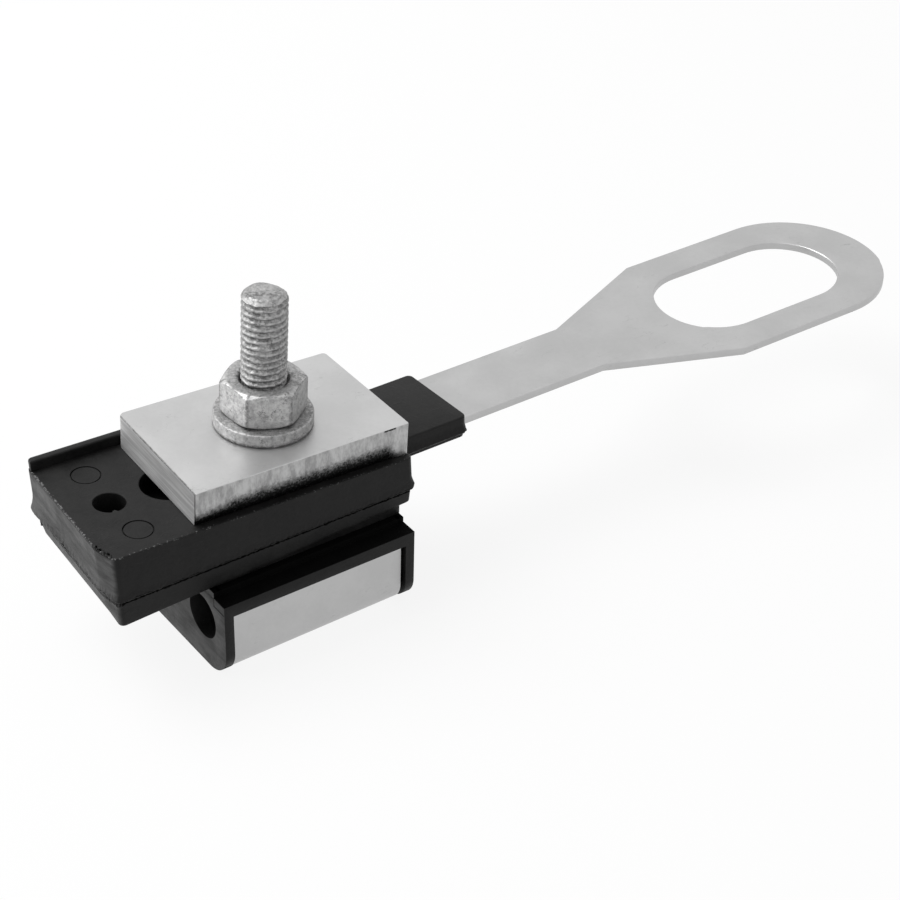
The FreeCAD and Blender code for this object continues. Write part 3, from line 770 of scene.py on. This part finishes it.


# Shears the plate's front: torn streaks above, a ragged underside that draws in below and is darkened
# with oxide and painted shade, a nick at its top edge, and rolling seams along its milled left end
def makeShearTree():
    tree, given = startTree("plateShear", ["front", "left", "low", "high", "underHeight", "underDepth",
                                           "underFadeRight", "tear", "nickFrom", "nickTo", "nickDepth", "seam"],
                            ["skew"])
    position, x, y, z = splitPosition(tree)
    behind = y - given.front
    fromLeft = x - given.left - behind * given.skew
    front = remap(behind, 0.00055, 0.0003)
    above, below = z - given.low, given.high - z
    lengthwise = addNode(tree, "ShaderNodeCombineXYZ", {0: x})
    ragged = noiseAt(lengthwise, *plate.longRag) * 0.55 + noiseAt(position, *plate.fineRag) * 0.7
    start = remap(fromLeft, 0.0, 0.012, 0.6, 1.0)
    finish = remap(x, given.underFadeRight + 0.0035, given.underFadeRight - 0.002)
    reach = given.underHeight * (ragged + 0.3) * (start * larger(finish, 0.5))
    share = larger(reach - above, 0.0) / reach
    drawn = calc("POWER", share, 2.0) * finish * front
    streak = noiseAt(stretched(position, (1.0, 1.0, 0.4)), *plate.streak) - 0.35
    torn = streak * given.tear * (front * remap(below, 0.00002, 0.0006, 0.25, 1.0))
    nickAlong = (remap(x, given.nickFrom, given.nickFrom + 0.0003)
                 * remap(x, given.nickTo, given.nickTo - 0.0003))
    nickLine = remap(below, 0.0006, 0.0004) * patches(lengthwise, *plate.nickGaps)
    nick = nickAlong * nickLine * (front * remap(below, 0.00005, 0.00015))
    inward = drawn * given.underDepth + (torn + nick * given.nickDepth)
    side = remap(fromLeft, 0.00028, 0.00022)
    seam = noiseAt(stretched(position, (1.0, 0.02, 1.0)), *plate.seamLine) * side * given.seam
    offset = addNode(tree, "ShaderNodeCombineXYZ", {0: seam, 1: inward})
    onWall = remap(below, 0.0, 0.0001) * remap(above, 0.0, 0.0001)
    geometry = keepValue(given.Geometry, "sheared", front * onWall)
    geometry = keepValue(geometry, "milled", side * (1.0 - front))
    # The dark band over the drawn-in underside is oxide and painted shade together
    oxideAndShadeBand = remap(above - reach, 0.0026, -0.0016) * front * finish
    rolled = side * remap(below, 0.0003, 0.0002, 0.0, 0.6)
    geometry = keepValue(geometry, "oxide", larger(oxideAndShadeBand, larger(nick * 1.2, rolled)))
    moved = addNode(tree, "GeometryNodeSetPosition", {"Geometry": geometry, "Offset": offset})
    return endTree(tree, moved, plateZinc)


def buildPlate():
    size = plate
    low, high, top, bottom = size.low, size.high, size.topRoll, size.bottomRoll
    rows = [(bottom + inset, low) for inset in (1.2, 0.6, 0.15)]
    rows += [(side, low + rise) for side, rise in quarter(bottom, bottom, 3)]
    rows += [(0.0, low + bottom + (high - top - low - bottom) * i / size.rows) for i in range(1, size.rows)]
    rows += [(side, high - fall) for side, fall in reversed(quarter(top, top, 4))]
    rows += [(top + inset, high) for inset in (0.1, 0.3, 0.8, 1.6)]
    bm = bmesh.new()
    rings = []
    for inset, height in rows:
        radii = [radius - min(inset, 0.4) for radius in size.radii]
        rings.append(addRing(bm, softPolygon(drawnIn(size.corners, inset), radii, size.sideCounts), height))
    wall(bm, *rings)
    hole = [addRing(bm, circlePoints(0, 0, size.hole, 96), height) for height in (low, high)]
    wall(bm, *hole)
    capWith(bm, rings[0], hole[0])
    capWith(bm, rings[-1], hole[1])
    bm.transform(Matrix.Scale(mm, 4))
    piece = pieceFromBm("pressurePlate", bm)
    left, front = size.corners[0]
    backLeft, back = size.corners[3]
    grow(piece, makeShearTree(), {**size, "front": front, "left": left, "skew": (backLeft - left) / (back - front)})
    piece.data.transform(lean)
    settle(piece, plateZinc, 42)
    place(piece, "block", "zinc_plate", "pressure_plate")


buildPlate()

# A bulge of flash is how far out, how far above the parting, and over what height; a recess is x, y, radius and
# depth, and so is the nub; a row of the marks' groove is how far from its radius and how deep
block = Sizes(
    left=44.3, right=28.3, front=18.6, back=19.9, skew=2.4,
    corners=(1.5, 1.3, 1.4, 1.2, 3.5),  # radii: front left, front right, back right, back left, left end's bend
    bendAt=-12.6, nearLeft=43.9,  # where the left end bends back, and how far left it is at the front
    floorAtBolt=37.3, underAtBolt=23.37, underSlope=2.48, parting=28.2, partingInset=0.3,
    leftDraft=13.0, lowerDraft=2.0, leftLean=3.7, frontDraft=3.6, upperDraft=0.6,
    flash=0.2, flashTop=2.2, rightFlash=(0.6, 0.9, 1.9), leftFlash=(0.95, 1.3, 2.6),
    rightFlashReach=1.5, leftFlashOf=-41.0, leftFlashFrom=6.0, leftFlashTo=17.0, leftDropFrom=-42.2, leftDrop=0.7,
    undersideRagged=0.2, flashRagged=0.16, grooveRagged=(0.1, 0.06), grooveHeight=0.8, grooveDepth=0.8,
    topRound=0.22, bottomRound=0.4, rimWidth=1.9, rimHeight=2.5, rimShift=0.4, hole=5.5, bossBottom=21.6,
    bossLeft=21.2, bossRight=25.7, bossHalf=17.2, sideCounts=(300, 80, 110, 150, 50),
    edgeGroove=0.16, chip=1.8, chipFrom=-17.9, chipTo=-11.8, chipLeftOf=-40.0,
    wornLeftOf=-42.0, wornMore=1.45, recesses=((-35.3, 0.0, 3.5, 5.5), (-21.5, 0.0, 6.1, 5.5)),
    nub=(-35.3, -2.4, 0.8, 0.9), nubHeight=4.6, nubWorn=1.05,
    cornerLump=((-42.6, 19.0, 27.9), (-42.5, 18.9, 26.0), (-42.3, 18.8, 24.1)),
    ringMarks=((-34.8, 11.3), (-34.8, -11.3)), ringRadius=3.15,
    ringGroove=((0.14, 0.0), (0.1, 0.45), (-0.14, 0.45), (-0.17, 0.06)), bossShade=0.4, paleFrom=40.5,
)
neck = Sizes(root=22.0, end=47.3, frontMore=0.9, backLess=0.2, half=10.5, low=29.6, parting=31.1, high=35.2,
             inset=0.3, corner=1.4, beadFrom=27.0, flash=0.3, sideFlash=(0.4, 0.5, 1.5), topRound=0.45,
             bottomRound=0.35)
flashBead = Sizes(radius=0.13, raggedness=1.5, ragScale=650.0, wander=0.3, step=0.16)
edgeBead = Sizes(radius=0.075, raggedness=1.3, ragScale=800.0, wander=0.22, step=0.16)
tornBead = Sizes(radius=0.26, raggedness=1.6, ragScale=900.0, wander=1.3, step=0.12)
lumpBead = Sizes(radius=0.8, raggedness=0.9, ragScale=500.0, wander=0.5, step=0.3)


def tangent(angle):
    return tan(radians(angle))


def floorAt(x):
    return block.floorAtBolt - x * tangent(floorSlope)


def undersideAt(x):
    return block.underAtBolt + x * tangent(block.underSlope)


def bulge(flash, above):
    out, at, reach = flash
    return out * max(0.0, 1 - abs(above - at) / reach) if above > -0.05 else 0.0


# The block's outline, anticlockwise from its front left corner; the left end bends back near the front
def blockCorners(leftInset, inset, frontInset=None, nearInset=None):
    size = block
    front = (inset if frontInset is None else frontInset) - size.front
    near = (inset if nearInset is None else nearInset) - size.nearLeft
    right, back, left = size.right - inset, size.back - inset, leftInset - size.left
    skew = tangent(size.skew)
    return [(near, front), (right, front), (right, back), (left + back * skew, back),
            (left + size.bendAt * skew, size.bendAt)]


def blockOutline(leftInset, inset, frontInset=None, nearInset=None):
    radii = [radius - min(inset, 0.3) for radius in block.corners]
    return softPolygon(blockCorners(leftInset, inset, frontInset, nearInset), radii, block.sideCounts)


# A hole round the leaning axis, between two levels given as a height on the axis and a height for the ring
def leaningHole(bm, *levels):
    rings = [addRing(bm, circlePoints(level * tangent(floorSlope), 0, block.hole, 72), height)
             for level, height in levels]
    wall(bm, *rings)
    return rings


# The block's shell between its underside and floor, in rings from the bottom up
def blockShell():
    size = block
    bm = bmesh.new()
    layer = bm.verts.layers.float.new("edge")
    rings = []
    inset, parting, soft, top = size.partingInset, size.parting, size.bottomRound, size.topRound

    def addRow(outline, height, ragged=0.0, drop=0.0):
        ring = addRing(bm, outline, height)
        for vert in ring:
            above = vert.co.z - parting
            if vert.co.x > size.right - size.rightFlashReach:  # the right end's flash bulges most
                vert.co.x += bulge(size.rightFlash, above)
            if vert.co.x < size.leftFlashOf:  # and its back left corner's
                vert.co.x -= bulge(size.leftFlash, above) * ramp(vert.co.y, size.leftFlashFrom, size.leftFlashTo)
            vert.co.z -= drop * ramp(-vert.co.x, -size.leftDropFrom, 1 - size.leftDropFrom)
            if ragged:
                fine = noise.noise(vert.co * 3.1 + Vector((7, 0, 0)))
                vert.co.z += ragged * noise.noise(vert.co * 1.3) + ragged * fine
        rings.append(ring)

    def lowerOutline(extra, share):
        drop = (parting - undersideAt(0)) * share
        return blockOutline(inset + drop * 1.25 * tangent(size.leftDraft) + extra,
                            inset + drop * tangent(size.lowerDraft) + extra, None, inset + extra)

    for side, rise in quarter(soft, soft, 4):
        addRow(lowerOutline(side, 1.0), lambda x: undersideAt(x) + rise)
    lowerTop = parting - size.grooveHeight
    for i in range(1, 9):
        share = i / 8
        addRow(lowerOutline(0, 1 - share), lambda x: (undersideAt(x) + soft) * (1 - share) + lowerTop * share,
               *((size.undersideRagged, size.leftDrop) if i == 8 else ()))
    deep = inset + size.grooveDepth
    addRow(blockOutline(deep, deep), lowerTop + 0.1, size.grooveRagged[0])
    addRow(blockOutline(deep, deep), parting - 0.08, size.grooveRagged[1])
    flashTop = size.flashTop
    for height, share in ((0.0, 0.7), (0.16, 1.0), (0.5, 1.0), (0.75, 0.75), (1.1, 0.45), (1.6, 0.15),
                          (flashTop, 0.0)):
        outset = size.flash * share
        addRow(blockOutline(-outset, -outset), parting + height, 0.0 if height else size.flashRagged)
    base = parting + flashTop
    rimFrom = size.back - size.rimWidth
    rise = floorAt(0) - base

    def upperOutline(share, extra=0.0):
        up = rise * share
        return blockOutline(extra - (flashTop + up) * tangent(size.leftLean) * min(1.0, share * 3 + 0.4),
                            extra + up * tangent(size.upperDraft), extra + up * tangent(size.frontDraft), extra)

    for i in range(1, 8):
        share = i / 7
        addRow(upperOutline(share), lambda x: base * (1 - share) + (floorAt(x) - top) * share)
    # Rows 1 and 2 are the groove below the edge, 4 to 8 its rounding, 9 and 10 lie on the floor
    sharp = upperOutline(1.0)
    groove = size.edgeGroove
    edgeRows = [(0.0, 0.3), (groove, 0.24), (groove, 0.14), (0.0, 0.08)]
    edgeRows += [(side, fall - top) for side, fall in reversed(quarter(top, top, 4))]
    edgeRows += [(0.5, -top), (0.9, -top)]
    for i, (extra, fall) in enumerate(edgeRows):
        ring = []
        for edge, rounded in zip(sharp, upperOutline(1.0, extra)):
            onRim = edge.y > rimFrom
            here = Vector((edge.x, edge.y, 0))
            if i in (1, 2) and noise.noise(here * 0.5) + 0.5 * noise.noise(here * 2.0) < -0.05:
                rounded = edge
            point = edge if onRim and i < 9 else rounded
            vert = bm.verts.new((point.x, point.y, floorAt(point.x) - (0.0 if onRim and i > 7 else top + fall)))
            if edge.x < size.chipLeftOf and size.chipFrom < edge.y < size.chipTo and 3 < i < 10:
                torn = max(0.0, noise.noise(here * 1.1) + 0.6 * noise.noise(here * 3.3) + 0.15)
                vert.co += Vector((0.7, 0.15, -1.0)) * torn * size.chip * (1 if i < 9 else 0.5)
            worn = size.wornMore if vert.co.x < size.wornLeftOf and i < 9 else 1.0
            vert[layer] = worn if 2 < i < 10 and vert.co.y < rimFrom else 0.0
            ring.append(vert)
        rings.append(ring)
    wall(bm, *rings)

    holes = leaningHole(bm, (undersideAt(0), undersideAt), (floorAt(0), floorAt))
    floorHoles = [holes[1]]
    for x, y, radius, depth in size.recesses:
        mouth = addRing(bm, circlePoints(x, y, radius + 0.1, 64), floorAt)
        lip = addRing(bm, circlePoints(x, y, radius, 64), lambda px: floorAt(px) - 0.1)
        foot = addRing(bm, circlePoints(x, y, radius, 64), floorAt(x) - depth)
        wall(bm, mouth, lip, foot)
        capWith(bm, foot)
        floorHoles.append(mouth)
    for x, y in size.ringMarks:  # the groove round each ejector's mark
        rows = [addRing(bm, circlePoints(x, y, size.ringRadius + out, 72), lambda px: floorAt(px) - depth)
                for out, depth in size.ringGroove]
        wall(bm, *rows)
        capWith(bm, rows[-1])
        floorHoles.append(rows[0])
    capWith(bm, rings[0], holes[0])
    capWith(bm, rings[-1], *floorHoles)
    x, y, radius, drop = size.nub
    height = size.nubHeight
    cone = bmesh.ops.create_cone(bm, cap_ends=True, segments=20, radius1=radius, radius2=radius * 0.7, depth=height,
                                 matrix=Matrix.Translation((x, y, floorAt(x) - drop - height / 2)))
    # The nub is made paler, with the chip colour of the edges
    for vert in cone["verts"]:
        vert[layer] = size.nubWorn
    return bm


# The rim along the back, which stands on the shell's edge and reaches a little into it
def rimShell():
    size = block
    bm = bmesh.new()
    full = (floorAt(0) - size.parting - size.flashTop) * tangent(size.upperDraft)

    def outline(inset, up):
        corners = blockCorners(inset - size.rimShift - up * tangent(size.leftLean), full + inset)
        right, rightBack, leftBack = corners[1][0], corners[2], corners[3]
        innerY = size.back - size.rimWidth + inset
        left = leftBack[0] + (innerY - leftBack[1]) * tangent(size.skew)
        radii = [0.05, 0.05] + [size.corners[i] - full - inset for i in (2, 3)]
        return softPolygon([(left, innerY), (right, innerY), rightBack, leftBack], radii, (110, 8, 110, 8))

    height = size.rimHeight
    rows = [(0.5, -0.8), (0.3, -0.02), (0.0, 0.0), (0.0, height * 0.3), (0.0, height * 0.6)]
    rows += [(side, height - fall) for side, fall in reversed(quarter(0.35, 0.45, 4))]
    rings = [addRing(bm, outline(inset, up), lambda x: floorAt(x) + up) for inset, up in rows]
    wall(bm, *rings)
    capWith(bm, rings[0])
    capWith(bm, rings[-1])
    return bm


def neckShell():
    size = neck
    bm = bmesh.new()
    root, half, inset, flash, parting = size.root, size.half, size.inset, size.flash, size.parting
    soft, top = size.bottomRound, size.topRound

    def outline(extra):
        front, back = size.end + size.frontMore - extra, size.end - size.backLess - extra
        corners = [(root, extra - half), (front, extra - half), (back, half - extra), (root, half - extra)]
        corner = size.corner - min(extra, 1.0)
        return softPolygon(corners, [0.1, corner, corner, 0.1], (60, 50, 60, 10))

    rows = [(inset + side, size.low + rise) for side, rise in quarter(soft, soft, 3)]
    rows += [(extra, parting + above) for extra, above in (
        (inset, -0.12), (inset, -0.02), (-flash * 0.8, 0.06), (-flash, 0.2), (-flash, 0.45), (-flash * 0.6, 0.75),
        (-flash * 0.2, 1.2), (0.0, 1.8), (0.02, 2.6))]
    rows += [(0.04 + side, size.high - fall) for side, fall in reversed(quarter(top, top, 4))]
    rings = [addRing(bm, outline(extra), height) for extra, height in rows]
    for vert in bm.verts:  # the flash along the two sides
        if abs(vert.co.y) > half - 0.8:
            vert.co.y += copysign(bulge(size.sideFlash, vert.co.z - parting), vert.co.y)
    wall(bm, *rings)
    capWith(bm, rings[0])
    capWith(bm, rings[-1])
    return bm


def bossShell():
    size = block
    bm = bmesh.new()
    low, high, left, right, half = size.bossBottom, size.parting - 1.0, size.bossLeft, size.bossRight, size.bossHalf
    corners = [(-left, -half), (right, -half), (right, half), (-left, half)]
    rings = [addRing(bm, softPolygon(drawnIn(corners, inset), [0.5] * 4, (60, 40, 60, 40)), height)
             for inset, height in ((0.15, low), (0.05, low + 0.06), (0.0, low + 0.18), (0.0, high))]
    wall(bm, *rings)
    holes = leaningHole(bm, (low, low), (high, high))
    capWith(bm, rings[0], holes[0])
    capWith(bm, rings[-1], holes[1])
    return bm


# Small random pushes along the normals, where the flash is
def roughen(bm, parting):
    bm.normal_update()
    for vert in bm.verts:
        if parting - 0.05 < vert.co.z < parting + 1.2:
            vert.co += vert.normal * 0.16 * noise.noise(vert.co * 1.7)


def buildBlock():
    size = block
    pieces = []
    for bm, parting in ((blockShell(), size.parting), (rimShell(), None), (neckShell(), neck.parting),
                        (bossShell(), None)):
        if parting:
            roughen(bm, parting)
        bmesh.ops.recalc_face_normals(bm, faces=bm.faces)
        bm.transform(Matrix.Scale(mm, 4))
        pieces.append(pieceFromBm("shell", bm, recalculate=False))
    around = [(p.x, p.y, size.parting + 0.25) for p in blockOutline(-0.2, -0.2)]
    pieces.append(beadAlong(around, True, flashBead))
    half, low, root = neck.half + 0.1, neck.parting + 0.25, neck.beadFrom
    front, back = neck.end + neck.frontMore + 0.1, neck.end - neck.backLess + 0.1
    sides = ((root, -half), (front - 1.2, -half), (front - 0.3, 0.3 - half), (front, 1.2 - half),
             (back, half - 1.2), (back - 0.3, half - 0.3), (back - 1.2, half), (root, half))
    pieces.append(beadAlong([(x, y, low) for x, y in sides], False, flashBead))
    lift = floorAt(0) - size.parting
    frontInset = 0.05 + (lift - size.flashTop) * tangent(size.frontDraft)
    edge = blockOutline(0.05 - lift * tangent(size.leftLean), 0.1, frontInset)
    edge = [p for p in edge if p.y < size.back - size.rimWidth - 0.2 and p.x < 27.5]
    front = sorted((p for p in edge if p.y < -17.4 and p.x > -43.0), key=lambda p: p.x)
    left = sorted((p for p in edge if p.x < -40.0 and p.y > -17.4), key=lambda p: p.y)
    torn = [p for p in left if p.y < size.bendAt + 0.4]
    for line, shift, sizes in ((front, 0.0, edgeBead), (left, 0.0, edgeBead), (torn, 0.2, tornBead)):
        pieces.append(beadAlong([(p.x + shift, p.y, floorAt(p.x) - 0.05) for p in line], False, sizes))
    pieces.append(beadAlong(size.cornerLump, False, lumpBead))
    piece = joinPieces("insulatingBody", *pieces)
    # Painted light on the block's faces that look left
    markPaintedLightLeftEnd(piece, size.paleFrom)
    # Painted shade on the boss's front, under the block
    markFaces(piece, "shade", lambda centre, normal:  # the boss's front
              size.bossShade if centre.z < 23.0 and normal.y < -0.7 and centre.x > -25 else 0.0)
    settle(piece, blackMoulding, 34)
    place(piece, "block", "black_moulding", "insulating_body")


buildBlock()

# Strap, saddle and jaw take their solids' shape, with softened edges; boxes are built on, lines are thin strips
# painted black as the shade in the gap at the jaw's joint
softEdges = {
    "anchorStrap": Sizes(node="anchor_strap", width=0.25, segments=3, body="block", slot="galvanised_strap",
                         material=strapZinc),
    "saddlePlate": Sizes(node="saddle_plate", width=0.12, segments=2, body="jaw", slot="saddle_sheet",
                         material=saddleZinc),
    "lowerJaw": Sizes(node="lower_jaw", width=0.2, segments=3, body="jaw", slot="black_moulding",
                      material=blackMoulding,
                      boxes=[((-22.2, -18.7, 19.5), (-20.5, 18.7, 21.5)),
                             ((24.0, -18.6, 19.5), (25.6, 18.6, 21.5))],
                      # Thin strips painted black as the shade in the joint's gap
                      lines=[((-22.26, -22.6, 17.85), (-22.0, -18.5, 18.05)),
                             ((-22.26, -18.7, 17.85), (-22.0, -18.5, 20.1))]),
}
strap = Sizes(eyeFrom=70.0, edgeAt=-9.4, slim=0.45)
soften = Sizes(weld=2e-6, flatAngle=0.3, bevelAngle=25.0, smoothAngle=35)
saddle = Sizes(left=-19.7, right=22.5, top=16.8, corner=2.4, wall=20.0, sharpness=1.34)
jaw = Sizes(left=-21.5, back=22.8, slant=0.4, ledge=19.0, side=22.0, bore=(13.6, 12.3, 6.0), liftFrom=-6.0,
            liftTo=24.0, lift=0.5, liftHeight=8.0, coreTop=17.5, crownFront=20.2, jointEnd=(-22.2, -18.4),
            jointAt=17.95, jointFrom=17.8, jointReach=1.2, paleFrom=21.9)


# Draws the round upper corners of the saddle's sides out to nearly square ones
def squareCorners(bm):
    radius = saddle.corner
    for vert in bm.verts:
        up = vert.co.z / mm - saddle.top + radius
        for end, way in ((saddle.left, -1), (saddle.right, 1)):
            out = (vert.co.x / mm - end) * way + radius
            if abs(vert.co.y) > saddle.wall * mm and up > 0.02 and out > 0.02:
                factor = min(radius / max(up, out), saddle.sharpness)
                vert.co.x += way * out * (factor - 1) * mm
                vert.co.z += up * (factor - 1) * mm


# The strap's front edge runs a little inward round its eye
def slimFront(bm):
    for vert in bm.verts:
        if vert.co.x > strap.eyeFrom * mm and vert.co.y < strap.edgeAt * mm:
            vert.co.y += strap.slim * mm


# The jaw and saddle rise a little at their bottom towards the right end
def liftRight(bm):
    for vert in bm.verts:
        low = max(0.0, 1.0 - vert.co.z / mm / jaw.liftHeight)
        vert.co.z += jaw.lift * mm * ramp(vert.co.x / mm, jaw.liftFrom, jaw.liftTo) * low


# The jaw's left end runs a little out of square
def slantEnd(bm):
    for vert in bm.verts:
        if vert.co.x < jaw.left * mm:
            vert.co.x -= jaw.slant * mm * (vert.co.y / mm / jaw.back + 1) / 2


# Painted shade on the jaw, where it lies in the block's shade or in gaps: its ledges and crown front, its joint
# strips and its core behind the saddle
def jawShade(centre, normal):
    across, up, reach = jaw.bore
    if hypot(abs(centre.y) - across, centre.z - up) < reach:
        return 0.0
    core = abs(normal.y) > 0.5 and abs(centre.y) < jaw.side and centre.z < jaw.coreTop
    joint = (centre.x < jaw.jointEnd[0] and centre.y < jaw.jointEnd[1] and normal.x < -0.9
             and centre.z > jaw.jointFrom and abs(centre.z - jaw.jointAt) < jaw.jointReach)
    crown = centre.z > jaw.ledge and (normal.z > 0.6 or (normal.y < -0.6 and centre.z > jaw.crownFront))
    return 1.0 if core or joint or crown else 0.0


reshape = {"anchorStrap": [slimFront], "saddlePlate": [liftRight, squareCorners],
           "lowerJaw": [liftRight, slantEnd]}


def buildSoftEdged():
    for name, size in softEdges.items():
        bm = bmesh.new()
        bm.from_mesh(frame["nodes"][size.node].data)
        bmesh.ops.remove_doubles(bm, verts=bm.verts, dist=soften.weld)
        bmesh.ops.dissolve_limit(bm, angle_limit=radians(soften.flatAngle), verts=bm.verts, edges=bm.edges)
        for low, high in size.get("boxes", []):
            addBox(bm, low, high)
        for change in reshape[name]:
            change(bm)
        piece = pieceFromBm(name, bm, recalculate=False)
        bevel = piece.modifiers.new("softEdges", "BEVEL")
        bevel.width = size.width * mm
        bevel.segments = size.segments
        bevel.limit_method = "ANGLE"
        bevel.angle_limit = radians(soften.bevelAngle)
        settle(piece, size.material, soften.smoothAngle)
        if name == "lowerJaw":
            addBoxes(piece, size.lines)
            # Painted light on the jaw's faces that look left
            markPaintedLightLeftEnd(piece, jaw.paleFrom)
            # Painted shade on the jaw's ledges, crown front, joint strips and the core behind the saddle
            markFaces(piece, "shade", jawShade)
        place(piece, size.body, size.slot, size.node)


buildSoftEdged()
